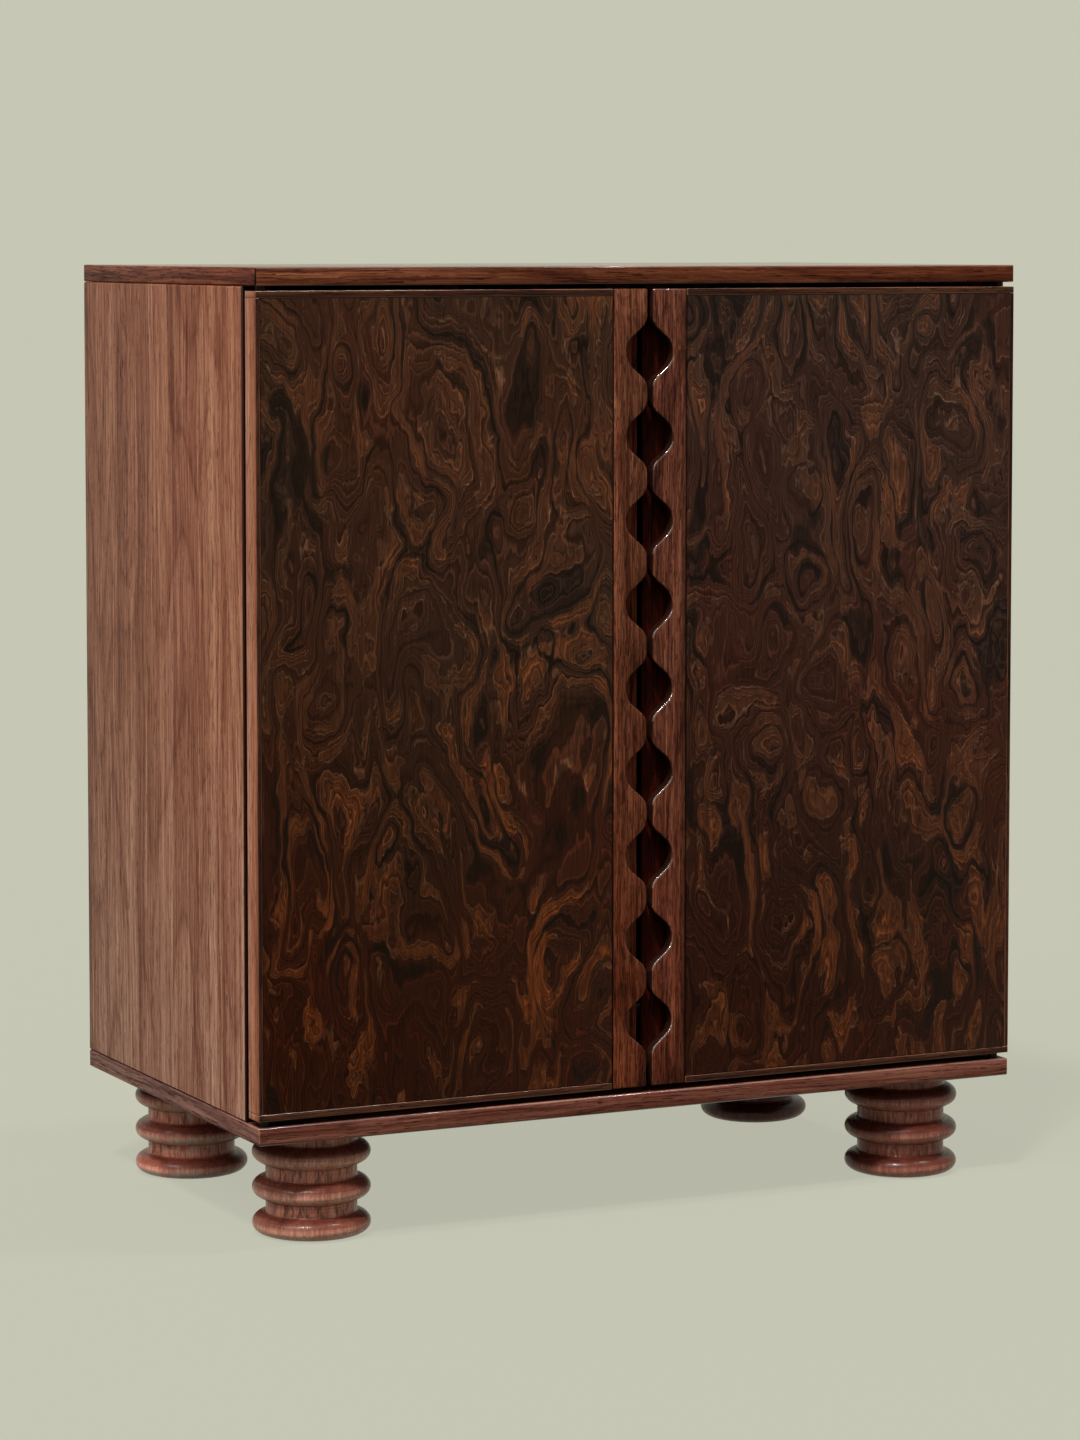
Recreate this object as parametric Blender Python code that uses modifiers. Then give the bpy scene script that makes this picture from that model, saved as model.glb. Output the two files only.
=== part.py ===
"""A two-door bar cabinet on turned feet, with scalloped finger pulls where the doors meet.

Metres, +Z up, the front towards -Y. The origin is on the floor under the middle of the case.
The case is a top and a bottom panel with the sides, a back and the inner boards between them.
The doors lie over the front edges of the sides, between the top and bottom panels, and turn on
pivot hinges let into their ends.
"""

import math

import bmesh
import bpy
from mathutils import Matrix, Vector

# Overall sizes
CASE_WIDTH = 0.9144
CASE_DEPTH = 0.508
CASE_HEIGHT = 0.9144
FOOT_HEIGHT = 0.1143

# Fits
SEAT_GAP = 0.0003
CUT_OVERRUN = 0.004
EDGE_EASE = 0.0012

# Case boards
PANEL_THICKNESS = 0.01905
BACK_THICKNESS = 0.006
BACK_INSET = 0.004
SHELF_THICKNESS = 0.0185
SHELF_SETBACK = 0.0168
LOWER_BAY_HEIGHT = 0.456
DIVIDER_THICKNESS = 0.018

# Doors
DOOR_THICKNESS = 0.028
DOOR_BACK_GAP = 0.0072
DOOR_TOP_GAP = 0.005
DOOR_BOTTOM_GAP = 0.0068
MEETING_GAP = 0.0056
END_BAND_HEIGHT = 0.007
OUTER_BAND_WIDTH = 0.005
BURL_THICKNESS = 0.003

# Scalloped pull stiles
STILE_WIDTH = 0.042
LIP_THICKNESS = 0.014
RECESS_DEPTH = 0.024
GROOVE_WIDTH = 0.034
GROOVE_END = 0.006
LIP_RELIEF = 0.0002
SCALLOP_DEPTH = 0.0255
HOLLOW_RADIUS = 0.022
CREST_RADIUS = 0.020
CREST_FLAT = 0.0087
FLANK_ANGLE = math.radians(50)
PULL_END_LENGTH = 0.024
PULL_RISE = 0.00175
HOLLOW_STEPS = 8
CREST_STEPS = 4

# Turned feet
FOOT_DIAMETER = 0.127
NECK_DIAMETER = 0.098
BEAD_HEIGHT = 0.023
BEAD_COUNT = 3
BEAD_STEPS = 8
FOOT_STEPS = 28
FOOT_INSET_X = 0.093
FOOT_INSET_Y = 0.080
GLIDE_DIAMETER = 0.070
GLIDE_THICKNESS = 0.003
GLIDE_PROUD = 0.0005
GLIDE_STEPS = 24
BOLT_DIAMETER = 0.008
BOLT_IN_FOOT = 0.036
BOLT_IN_PANEL = 0.014
BOLT_CHAMFER = 0.001
BOLT_STEPS = 12

# Pivot hinges
PIVOT_INSET = 0.012
LEAF_LENGTH = 0.050
LEAF_WIDTH = 0.014
LEAF_THICKNESS = 0.003
LEAF_END_STEPS = 8
PIN_DIAMETER = 0.006
COLLAR_DIAMETER = 0.011
PIN_STEPS = 16

# Magnetic catches
CATCH_WIDTH = 0.030
CATCH_HEIGHT = 0.020
CATCH_DEPTH = 0.014
CATCH_OFFSET = 0.024
STRIKE_WIDTH = 0.024
STRIKE_HEIGHT = 0.012
STRIKE_THICKNESS = 0.0012
STRIKE_DROP = 0.002

# Stemware rails, a T upside down
RAIL_COUNT = 5
RAIL_PITCH = 0.100
RAIL_LENGTH = 0.380
RAIL_SETBACK = 0.0388
RAIL_STEM_WIDTH = 0.018
RAIL_STEM_HEIGHT = 0.022
RAIL_FLANGE_WIDTH = 0.074
RAIL_FLANGE_THICKNESS = 0.009

# Bottle rack
BOTTLE_PITCH = 0.105
CRADLE_RADIUS = 0.041
CRADLE_DEPTH = 0.024
CRADLE_STEPS = 8
RACK_TIERS = 2
RACK_TIER_PITCH = 0.210
RACK_RAIL_HEIGHT = 0.060
RACK_RAIL_THICKNESS = 0.018
RACK_FRONT_SETBACK = 0.0588
RACK_RAIL_SPACING = 0.200

# Adjustable shelf
SHELF_PIN_DIAMETER = 0.005
SHELF_PIN_DEPTH = 0.009
SHELF_PIN_REACH = 0.009
SHELF_COLLAR_DIAMETER = 0.010
SHELF_COLLAR_THICKNESS = 0.0012
SHELF_END_PLAY = 0.0022
PIN_HOLE_COUNT = 5
PIN_HOLE_PITCH = 0.032
PIN_HOLE_START = 0.150
PIN_HOLE_INSET = 0.045
PIN_HOLE_STEPS = 8
SHELF_HOLE_NUMBER = 2

# Planes and levels that several pieces share
front = -CASE_DEPTH / 2
back = CASE_DEPTH / 2
outer_x = CASE_WIDTH / 2
inner_x = outer_x - PANEL_THICKNESS
case_low = FOOT_HEIGHT
case_high = case_low + CASE_HEIGHT
bay_low = case_low + PANEL_THICKNESS
bay_high = case_high - PANEL_THICKNESS
door_back = front + DOOR_THICKNESS
side_front = door_back + DOOR_BACK_GAP
back_panel_front = back - BACK_INSET - BACK_THICKNESS
inner_back = back_panel_front - SEAT_GAP
shelf_front = side_front + SHELF_SETBACK
fixed_shelf_low = bay_low + LOWER_BAY_HEIGHT
divider_x = DIVIDER_THICKNESS / 2

# Door levels, and distances from the pivot
door_low = bay_low + DOOR_BOTTOM_GAP
door_high = bay_high - DOOR_TOP_GAP
door_inner_x = MEETING_GAP / 2
pivot_x = outer_x - PIVOT_INSET
pivot_y = front + DOOR_THICKNESS / 2
stile_outer_x = door_inner_x + STILE_WIDTH
field_inner_x = stile_outer_x + SEAT_GAP
field_outer_x = outer_x - OUTER_BAND_WIDTH - SEAT_GAP
field_low = door_low + END_BAND_HEIGHT + SEAT_GAP
field_high = door_high - END_BAND_HEIGHT - SEAT_GAP

# The scallops: arcs that meet straight flanks, with a flat crest between two of them
round_depth = (HOLLOW_RADIUS + CREST_RADIUS) * (1 - math.cos(FLANK_ANGLE))
flank_length = (SCALLOP_DEPTH - round_depth) / math.sin(FLANK_ANGLE)
scallop_half = (HOLLOW_RADIUS + CREST_RADIUS) * math.sin(FLANK_ANGLE)
scallop_half += flank_length * math.cos(FLANK_ANGLE)
scallop_pitch = 2 * scallop_half + CREST_FLAT
pull_room = door_high - door_low - 2 * PULL_END_LENGTH
scallop_count = math.floor((pull_room + CREST_FLAT) / scallop_pitch)
pull_middle = (door_low + door_high) / 2 + PULL_RISE
pull_half = (scallop_count * scallop_pitch - CREST_FLAT) / 2

# The adjustable shelf's holes, and the pins in one row of them
pin_hole_ys = (shelf_front + PIN_HOLE_INSET, inner_back - PIN_HOLE_INSET)
pin_z = bay_low + PIN_HOLE_START + SHELF_HOLE_NUMBER * PIN_HOLE_PITCH
pin_hole_radius = SHELF_PIN_DIAMETER / 2 + SEAT_GAP

# Looks: colour, roughness, metallic
LOOKS = {
    "walnut": ((0.26, 0.12, 0.060, 1), 0.42, 0),
    "walnut_stile": ((0.30, 0.13, 0.062, 1), 0.38, 0),
    "walnut_edge": ((0.33, 0.15, 0.075, 1), 0.42, 0),
    "walnut_foot": ((0.17, 0.075, 0.040, 1), 0.35, 0),
    "walnut_inside": ((0.24, 0.12, 0.065, 1), 0.50, 0),
    "burl": ((0.13, 0.055, 0.022, 1), 0.25, 0),
    "core_board": ((0.36, 0.24, 0.14, 1), 0.75, 0),
    "brass": ((0.62, 0.44, 0.19, 1), 0.35, 1),
    "steel": ((0.55, 0.55, 0.56, 1), 0.35, 1),
    "felt": ((0.035, 0.030, 0.028, 1), 0.95, 0),
    "catch_case": ((0.09, 0.045, 0.028, 1), 0.55, 0),
}


def clear_scene():
    for old in list(bpy.data.objects):
        bpy.data.objects.remove(old, do_unlink=True)


def new_collection(name):
    made = bpy.data.collections.new(name)
    bpy.context.scene.collection.children.link(made)
    return made


def look(name, kind):
    """A material of its own for one piece."""
    colour, roughness, metallic = LOOKS[kind]
    material = bpy.data.materials.new(name)
    material.use_nodes = True
    shader = material.node_tree.nodes["Principled BSDF"]
    shader.inputs["Base Color"].default_value = colour
    shader.inputs["Roughness"].default_value = roughness
    shader.inputs["Metallic"].default_value = metallic
    material.diffuse_color = colour
    return material


def place(obj, kind, parent=None):
    """Makes an object a piece of the cabinet, or a cutter when it has no kind."""
    if kind is None:
        cutters.objects.link(obj)
        obj.hide_render = True
        obj.display_type = "WIRE"
        return obj
    cabinet.objects.link(obj)
    obj.data.materials.clear()
    obj.data.materials.append(look(obj.name, kind))
    if parent:
        obj.parent = parent
        obj.location = obj.location - parent.location
    return obj


def board(name, kind, low, high, parent=None, ease=0.0):
    """A box from its low corner to its high corner."""
    low, high = Vector(low), Vector(high)
    mesh = bpy.data.meshes.new(name)
    shape = bmesh.new()
    bmesh.ops.create_cube(shape, size=1)
    bmesh.ops.scale(shape, vec=high - low, verts=shape.verts)
    shape.to_mesh(mesh)
    shape.free()
    obj = bpy.data.objects.new(name, mesh)
    obj.location = (low + high) / 2
    if ease:
        bevel = obj.modifiers.new("eased_edges", "BEVEL")
        bevel.width = ease
        bevel.segments = 1
        bevel.limit_method = "ANGLE"
    return place(obj, kind, parent)


def mirrored(low, high, side):
    """The corners of a box on the given side, +1 or -1, from those it has at +X."""
    near, far = sorted((side * low[0], side * high[0]))
    return (near, *low[1:]), (far, *high[1:])


def turned(name, kind, profile, steps, location, parent=None):
    """A solid of revolution about Z. The profile is (radius, height) down its outer side."""
    mesh = bpy.data.meshes.new(name)
    points = [(radius, 0, height) for radius, height in profile]
    mesh.from_pydata(points, [(n, n + 1) for n in range(len(points) - 1)], [])
    obj = bpy.data.objects.new(name, mesh)
    obj.location = location
    screw = obj.modifiers.new("turn", "SCREW")
    screw.axis = "Z"
    screw.angle = 2 * math.pi
    screw.steps = steps
    screw.render_steps = steps
    screw.use_merge_vertices = True
    screw.merge_threshold = 0.00001
    screw.use_smooth_shade = False
    return place(obj, kind, parent)


def baked(obj):
    """Swaps an object for its evaluated mesh, welded and facing out."""
    bpy.context.view_layer.update()
    graph = bpy.context.evaluated_depsgraph_get()
    mesh = bpy.data.meshes.new_from_object(obj.evaluated_get(graph))
    shape = bmesh.new()
    shape.from_mesh(mesh)
    bmesh.ops.remove_doubles(shape, verts=shape.verts, dist=0.000001)
    bmesh.ops.recalc_face_normals(shape, faces=shape.faces)
    shape.to_mesh(mesh)
    shape.free()
    name, where = obj.name, obj.matrix_world.copy()
    old_curve = obj.data
    bpy.data.objects.remove(obj, do_unlink=True)
    bpy.data.curves.remove(old_curve)
    mesh.name = name
    made = bpy.data.objects.new(name, mesh)
    made.matrix_world = where
    return made


def extruded(name, kind, outline, thickness, centre, turn, parent=None):
    """A flat outline with a thickness, turned from the XY plane by a rotation matrix."""
    curve = bpy.data.curves.new(name, "CURVE")
    curve.dimensions = "2D"
    curve.fill_mode = "BOTH"
    curve.extrude = thickness / 2
    spline = curve.splines.new("POLY")
    spline.points.add(len(outline) - 1)
    for point, (across, up) in zip(spline.points, outline):
        point.co = (across, up, 0, 1)
    spline.use_cyclic_u = True
    obj = bpy.data.objects.new(name, curve)
    bpy.context.scene.collection.objects.link(obj)
    obj.matrix_world = Matrix.Translation(centre) @ turn
    return place(baked(obj), kind, parent)


def boolean(obj, other, operation="DIFFERENCE"):
    modifier = obj.modifiers.new(other.name, "BOOLEAN")
    modifier.operation = operation
    modifier.solver = "EXACT"
    modifier.object = other


def arc(centre, radius, start, end, steps):
    angles = [start + (end - start) * n / steps for n in range(steps + 1)]
    return [
        (centre[0] + radius * math.cos(angle), centre[1] + radius * math.sin(angle))
        for angle in angles
    ]


UPRIGHT = Matrix.Rotation(math.pi / 2, 4, "X")
LEVEL = Matrix.Identity(4)


def make_case():
    for name, low, high in (
        ("top_panel", bay_high, case_high),
        ("bottom_panel", case_low, bay_low),
    ):
        board(name, "walnut", (-outer_x, front, low), (outer_x, back, high), ease=EDGE_EASE)
    side_low = bay_low + SEAT_GAP
    side_high = bay_high - SEAT_GAP
    for side, name in ((-1, "left_side_panel"), (1, "right_side_panel")):
        corners = mirrored((inner_x, side_front, side_low), (outer_x, back, side_high), side)
        board(name, "walnut", *corners, ease=EDGE_EASE)
    across = inner_x - SEAT_GAP
    board(
        "back_panel",
        "walnut_inside",
        (-across, back_panel_front, side_low),
        (across, back_panel_front + BACK_THICKNESS, side_high),
    )
    board(
        "fixed_shelf",
        "walnut_inside",
        (-across, shelf_front, fixed_shelf_low),
        (across, inner_back, fixed_shelf_low + SHELF_THICKNESS),
    )
    board(
        "lower_divider",
        "walnut_inside",
        (-divider_x, shelf_front, side_low),
        (divider_x, inner_back, fixed_shelf_low - SEAT_GAP),
    )


def foot_profile():
    """From the blind hole for the bolt, out over the neck and beads, to the glide's pocket."""
    top = case_low - SEAT_GAP
    bolt_hole = BOLT_DIAMETER / 2 + SEAT_GAP
    bolt_floor = case_low - BOLT_IN_FOOT - SEAT_GAP
    pocket = GLIDE_DIAMETER / 2 + SEAT_GAP
    pocket_top = GLIDE_THICKNESS + SEAT_GAP
    neck = NECK_DIAMETER / 2
    swell = (FOOT_DIAMETER - NECK_DIAMETER) / 2
    pitch = FOOT_HEIGHT / BEAD_COUNT
    points = [(0, bolt_floor), (bolt_hole, bolt_floor), (bolt_hole, top), (neck, top)]
    for number in reversed(range(BEAD_COUNT)):
        middle = number * pitch + BEAD_HEIGHT / 2 + GLIDE_PROUD
        for step in range(BEAD_STEPS + 1):
            angle = math.pi * step / BEAD_STEPS
            height = middle + BEAD_HEIGHT / 2 * math.cos(angle)
            points.append((neck + swell * math.sin(angle), height))
    points += [(pocket, GLIDE_PROUD), (pocket, pocket_top), (0, pocket_top)]
    return points


def bolt_profile():
    radius = BOLT_DIAMETER / 2
    low = case_low - BOLT_IN_FOOT
    high = case_low + BOLT_IN_PANEL
    narrow = radius - BOLT_CHAMFER
    return [
        (0, high),
        (narrow, high),
        (radius, high - BOLT_CHAMFER),
        (radius, low + BOLT_CHAMFER),
        (narrow, low),
        (0, low),
    ]


def drum(radius, low, high):
    """The profile of a plain round piece."""
    return [(0, high), (radius, high), (radius, low), (0, low)]


def make_feet():
    foot_x = outer_x - FOOT_INSET_X
    foot_y = back - FOOT_INSET_Y
    hole = drum(
        BOLT_DIAMETER / 2 + SEAT_GAP,
        case_low - CUT_OVERRUN,
        case_low + BOLT_IN_PANEL + SEAT_GAP,
    )
    glide = drum(GLIDE_DIAMETER / 2, 0, GLIDE_THICKNESS)
    for across, side in ((-1, "left"), (1, "right")):
        for along, end in ((-1, "front"), (1, "back")):
            where = f"{end}_{side}"
            spot = (across * foot_x, along * foot_y, 0)
            turned(f"foot_{where}", "walnut_foot", foot_profile(), FOOT_STEPS, spot)
            turned(f"foot_glide_{where}", "felt", glide, GLIDE_STEPS, spot)
            turned(f"foot_bolt_{where}", "steel", bolt_profile(), BOLT_STEPS, spot)
            cutter = turned(f"bolt_hole_{where}", None, hole, BOLT_STEPS, spot)
            boolean(bpy.data.objects["bottom_panel"], cutter)


def leaf_outline(side, grow):
    """A hinge leaf round its pivot: a round end, and a square end towards the door's middle."""
    half = LEAF_WIDTH / 2 + grow
    quarter = math.pi / 2
    end = arc((0, 0), half, quarter, 3 * quarter, LEAF_END_STEPS)
    reach = LEAF_LENGTH + grow
    outline = end + [(reach, -half), (reach, half)]
    return [(-side * across, up) for across, up in outline]


def leaf(name, kind, side, low, high, grow=0.0, parent=None):
    centre = (side * pivot_x, pivot_y, (low + high) / 2)
    outline = leaf_outline(side, grow)
    return extruded(name, kind, outline, high - low, centre, LEVEL, parent)


def make_hinges(side, door_name, hinge_axis):
    """Two pivot hinges: a leaf and pin in the case, and a leaf with a hole in the door."""
    ends = (
        ("upper", "top_panel", "top_band", bay_high, door_high, 1),
        ("lower", "bottom_panel", "bottom_band", bay_low, door_low, -1),
    )
    spot = (side * pivot_x, pivot_y, 0)
    for where, panel, band, case_level, door_level, way in ends:
        name = f"{door_name}_{where}"
        mouth = (case_level - way * CUT_OVERRUN, case_level + way * (LEAF_THICKNESS + SEAT_GAP))
        pocket = leaf(f"{name}_case_pocket", None, side, *sorted(mouth), grow=SEAT_GAP)
        boolean(bpy.data.objects[panel], pocket)
        plate = sorted((case_level, case_level + way * LEAF_THICKNESS))
        case_leaf = leaf(f"{name}_case_leaf", "brass", side, *plate)

        root = case_level + way * LEAF_THICKNESS / 2
        collar = door_level + way * SEAT_GAP
        tip = door_level - way * (LEAF_THICKNESS - SEAT_GAP)
        profile = [
            (0, root),
            (COLLAR_DIAMETER / 2, root),
            (COLLAR_DIAMETER / 2, collar),
            (PIN_DIAMETER / 2, collar),
            (PIN_DIAMETER / 2, tip),
            (0, tip),
        ]
        if way < 0:
            profile.reverse()
        pin = turned(f"{name}_pin", None, profile, PIN_STEPS, spot)
        boolean(case_leaf, pin, "UNION")

        mouth = (door_level + way * CUT_OVERRUN, door_level - way * (LEAF_THICKNESS + SEAT_GAP))
        pocket = leaf(f"{name}_door_pocket", None, side, *sorted(mouth), grow=SEAT_GAP)
        boolean(bpy.data.objects[f"{door_name}_{band}"], pocket)
        plate = sorted((door_level, door_level - way * LEAF_THICKNESS))
        door_leaf = leaf(f"{name}_leaf", "brass", side, *plate, parent=hinge_axis)
        hole = drum(
            PIN_DIAMETER / 2 + SEAT_GAP,
            plate[0] - CUT_OVERRUN,
            plate[1] + CUT_OVERRUN,
        )
        boolean(door_leaf, turned(f"{name}_pin_hole", None, hole, PIN_STEPS, spot))


def scallop_edge():
    """The pull's cut edge, as (depth into the lip, height), from its lowest hollow upwards."""
    points = []
    for number in range(scallop_count):
        middle = pull_middle + (number - (scallop_count - 1) / 2) * scallop_pitch
        turn = FLANK_ANGLE
        rise = arc((CREST_RADIUS, -scallop_half), CREST_RADIUS, math.pi, math.pi - turn, CREST_STEPS)
        hollow = arc((SCALLOP_DEPTH - HOLLOW_RADIUS, 0), HOLLOW_RADIUS, -turn, turn, HOLLOW_STEPS)
        fall = arc((CREST_RADIUS, scallop_half), CREST_RADIUS, math.pi + turn, math.pi, CREST_STEPS)
        points += [(depth, middle + height) for depth, height in rise + hollow + fall]
    return points


def make_pull_stile(side, door_name, hinge_axis):
    """A stile whose front lip is scalloped, over a groove for the finger tips."""
    corners = mirrored((door_inner_x, front, door_low), (stile_outer_x, door_back, door_high), side)
    stile = board(f"{door_name}_pull_stile", "walnut_stile", *corners, parent=hinge_axis)

    low = door_low - CUT_OVERRUN
    high = door_high + CUT_OVERRUN
    edge = [(LIP_RELIEF, low)]
    edge += [(depth + LIP_RELIEF, height) for depth, height in scallop_edge()]
    edge += [(LIP_RELIEF, high), (-CUT_OVERRUN, high), (-CUT_OVERRUN, low)]
    outline = [(side * (door_inner_x + depth), height) for depth, height in edge]
    cut_front = front - CUT_OVERRUN
    cut_back = front + (LIP_THICKNESS + RECESS_DEPTH) / 2
    centre = (0, (cut_front + cut_back) / 2, 0)
    depth = cut_back - cut_front
    scallops = extruded(f"{door_name}_scallops", None, outline, depth, centre, UPRIGHT)
    boolean(stile, scallops)

    half = pull_half + GROOVE_END
    corners = mirrored(
        (door_inner_x - CUT_OVERRUN, front + LIP_THICKNESS, pull_middle - half),
        (door_inner_x + GROOVE_WIDTH, front + RECESS_DEPTH, pull_middle + half),
        side,
    )
    boolean(stile, board(f"{door_name}_finger_groove", None, *corners))


def make_door(side, door_name):
    hinge_axis = bpy.data.objects.new(f"{door_name}_hinge_axis", None)
    hinge_axis.location = (side * pivot_x, pivot_y, (door_low + door_high) / 2)
    cabinet.objects.link(hinge_axis)

    def piece(name, kind, low, high):
        board(f"{door_name}_{name}", kind, *mirrored(low, high, side), parent=hinge_axis)

    make_pull_stile(side, door_name, hinge_axis)
    for name, low, high in (
        ("bottom_band", door_low, door_low + END_BAND_HEIGHT),
        ("top_band", door_high - END_BAND_HEIGHT, door_high),
    ):
        piece(name, "walnut_edge", (field_inner_x, front, low), (outer_x, door_back, high))
    piece(
        "outer_band",
        "walnut_edge",
        (outer_x - OUTER_BAND_WIDTH, front, field_low),
        (outer_x, door_back, field_high),
    )
    burl_back = front + BURL_THICKNESS
    piece(
        "burl_panel",
        "burl",
        (field_inner_x, front, field_low),
        (field_outer_x, burl_back, field_high),
    )
    piece(
        "core",
        "core_board",
        (field_inner_x, burl_back + SEAT_GAP, field_low),
        (field_outer_x, door_back, field_high),
    )
    make_hinges(side, door_name, hinge_axis)
    make_catch(side, door_name, hinge_axis)


def make_catch(side, door_name, hinge_axis):
    """A magnet under the top panel, and the plate on the door that it holds."""
    strike_front = door_back + SEAT_GAP
    strike_back = strike_front + STRIKE_THICKNESS
    strike_high = door_high - STRIKE_DROP
    corners = mirrored(
        (CATCH_OFFSET - STRIKE_WIDTH / 2, strike_front, strike_high - STRIKE_HEIGHT),
        (CATCH_OFFSET + STRIKE_WIDTH / 2, strike_back, strike_high),
        side,
    )
    board(f"{door_name}_strike_plate", "steel", *corners, parent=hinge_axis)
    magnet_front = strike_back + SEAT_GAP
    magnet_high = bay_high - SEAT_GAP
    corners = mirrored(
        (CATCH_OFFSET - CATCH_WIDTH / 2, magnet_front, magnet_high - CATCH_HEIGHT),
        (CATCH_OFFSET + CATCH_WIDTH / 2, magnet_front + CATCH_DEPTH, magnet_high),
        side,
    )
    board(f"{door_name}_magnetic_catch", "catch_case", *corners)


def make_stemware_rails():
    stem = RAIL_STEM_WIDTH / 2
    flange = RAIL_FLANGE_WIDTH / 2
    top = bay_high - SEAT_GAP
    step = top - RAIL_STEM_HEIGHT
    low = step - RAIL_FLANGE_THICKNESS
    half_outline = [(stem, top), (stem, step), (flange, step), (flange, low)]
    outline = half_outline + [(-across, up) for across, up in reversed(half_outline)]
    rail_front = side_front + RAIL_SETBACK
    for number in range(RAIL_COUNT):
        across = (number - (RAIL_COUNT - 1) / 2) * RAIL_PITCH
        centre = (across, rail_front + RAIL_LENGTH / 2, 0)
        name = f"stemware_rail_{number + 1}"
        extruded(name, "walnut_inside", outline, RAIL_LENGTH, centre, UPRIGHT)


def make_bottle_rack():
    """Rails with round cradles, across the lower left bay, one pair to a tier."""
    low_x = -inner_x + SEAT_GAP
    high_x = -divider_x - SEAT_GAP
    bottle_count = math.floor((high_x - low_x) / BOTTLE_PITCH)
    dip = CRADLE_RADIUS - CRADLE_DEPTH
    half_angle = math.acos(dip / CRADLE_RADIUS)
    down = -math.pi / 2
    rack_front = side_front + RACK_FRONT_SETBACK
    for tier in range(RACK_TIERS):
        base = bay_low + SEAT_GAP + tier * RACK_TIER_PITCH
        top = base + RACK_RAIL_HEIGHT
        outline = [(low_x, base), (low_x, top)]
        for number in range(bottle_count):
            across = (low_x + high_x) / 2 + (number - (bottle_count - 1) / 2) * BOTTLE_PITCH
            centre = (across, top + dip)
            outline += arc(centre, CRADLE_RADIUS, down - half_angle, down + half_angle, CRADLE_STEPS)
        outline += [(high_x, top), (high_x, base)]
        for row, name in ((0, "front"), (1, "back")):
            depth = rack_front + row * RACK_RAIL_SPACING
            extruded(
                f"bottle_rail_{name}_{tier + 1}",
                "walnut_inside",
                outline,
                RACK_RAIL_THICKNESS,
                (0, depth, 0),
                UPRIGHT,
            )


def make_pin_holes():
    """Rows of holes up the two walls of the lower right bay."""
    walls = (("right_side_panel", inner_x, 1), ("lower_divider", divider_x, -1))
    hole = drum(pin_hole_radius, -CUT_OVERRUN, SHELF_PIN_DEPTH + SEAT_GAP)
    for wall, face, way in walls:
        for row, depth in enumerate(pin_hole_ys):
            for number in range(PIN_HOLE_COUNT):
                height = bay_low + PIN_HOLE_START + number * PIN_HOLE_PITCH
                name = f"{wall}_hole_{row}_{number}"
                cutter = turned(name, None, hole, PIN_HOLE_STEPS, (face, depth, height))
                cutter.rotation_euler.y = way * math.pi / 2
                boolean(bpy.data.objects[wall], cutter)


def make_shelf_pins():
    radius = SHELF_PIN_DIAMETER / 2
    collar = SHELF_COLLAR_DIAMETER / 2
    collar_top = -SEAT_GAP
    collar_foot = collar_top - SHELF_COLLAR_THICKNESS
    profile = [
        (0, SHELF_PIN_DEPTH),
        (radius, SHELF_PIN_DEPTH),
        (radius, collar_top),
        (collar, collar_top),
        (collar, collar_foot),
        (radius, collar_foot),
        (radius, collar_foot - SHELF_PIN_REACH),
        (0, collar_foot - SHELF_PIN_REACH),
    ]
    for face, way, side in ((inner_x, 1, "right"), (divider_x, -1, "left")):
        for depth, end in zip(pin_hole_ys, ("front", "back")):
            spot = (face, depth, pin_z)
            name = f"shelf_pin_{end}_{side}"
            pin = turned(name, "steel", profile, PIN_STEPS, spot)
            pin.rotation_euler.y = way * math.pi / 2


def make_adjustable_shelf():
    shelf_low = pin_z + SHELF_PIN_DIAMETER / 2 + SEAT_GAP
    board(
        "adjustable_shelf",
        "walnut_inside",
        (divider_x + SHELF_END_PLAY, shelf_front, shelf_low),
        (inner_x - SHELF_END_PLAY, inner_back, shelf_low + SHELF_THICKNESS),
    )


def smooth_round_pieces():
    for obj in cabinet.objects:
        if obj.type == "MESH":
            obj.data.shade_smooth()
            obj.data.set_sharp_from_angle(angle=math.radians(30))


clear_scene()
cabinet = new_collection("bar_cabinet")
cutters = new_collection("cutters")
make_case()
make_feet()
make_door(-1, "left_door")
make_door(1, "right_door")
make_stemware_rails()
make_bottle_rack()
make_pin_holes()
make_shelf_pins()
make_adjustable_shelf()
smooth_round_pieces()
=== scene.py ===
"""The looks of the bar cabinet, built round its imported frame. Metres, +Z up, front towards -Y."""

import math

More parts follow.
